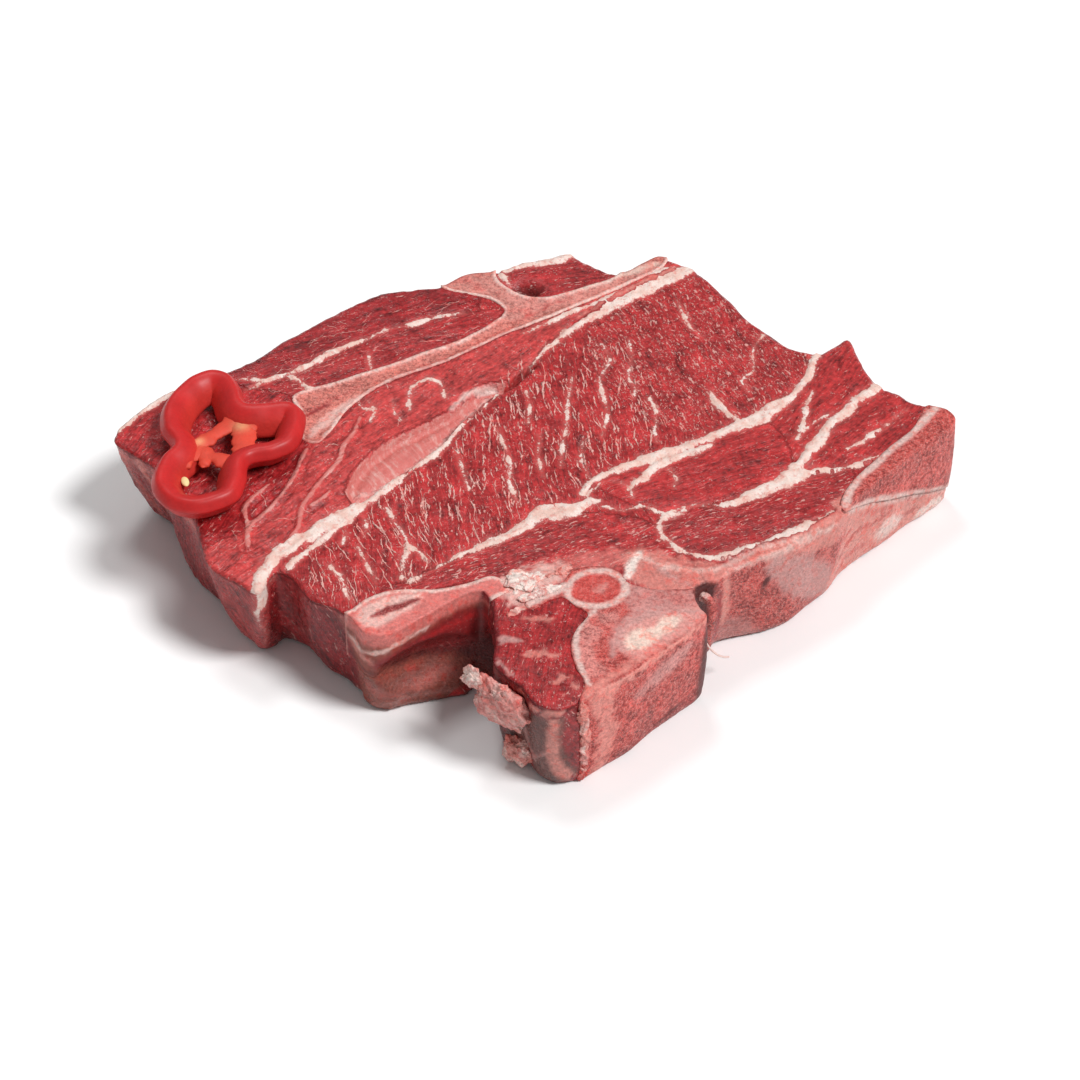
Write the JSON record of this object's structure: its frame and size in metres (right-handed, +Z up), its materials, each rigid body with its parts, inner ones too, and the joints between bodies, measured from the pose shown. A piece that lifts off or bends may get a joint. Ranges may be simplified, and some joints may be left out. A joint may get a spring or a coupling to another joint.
{
  "type": "bone-in beef chuck steak",
  "caption": "Raw bone-in beef chuck steak, a thick sawn slab with blade bone, rib and backbone, lying flat with a slice of red pepper on it",
  "frame": {"origin": "centre of the underside, on the surface it lies on", "axes": "+Z up, +X along the length towards the sawn backbone corner, -Y towards the block with the ring of the backbone"},
  "size_m": [0.41, 0.3202, 0.0703],
  "materials": {
    "meat": "moist raw muscle with white fat, satin to glossy",
    "bone": "fresh sawn bone, satin",
    "spongy_bone": "sawn spongy bone, grainy and moist",
    "pepper": "glossy red pepper flesh and skin"
  },
  "bodies": {
    "root": {"meat": "meat", "front_muscle": "meat", "blade_bone": "bone", "rib_bone": "bone", "vertebra": "spongy_bone", "feather_bone": "spongy_bone", "pepper_ring": "pepper"}
  },
  "joints": []
}
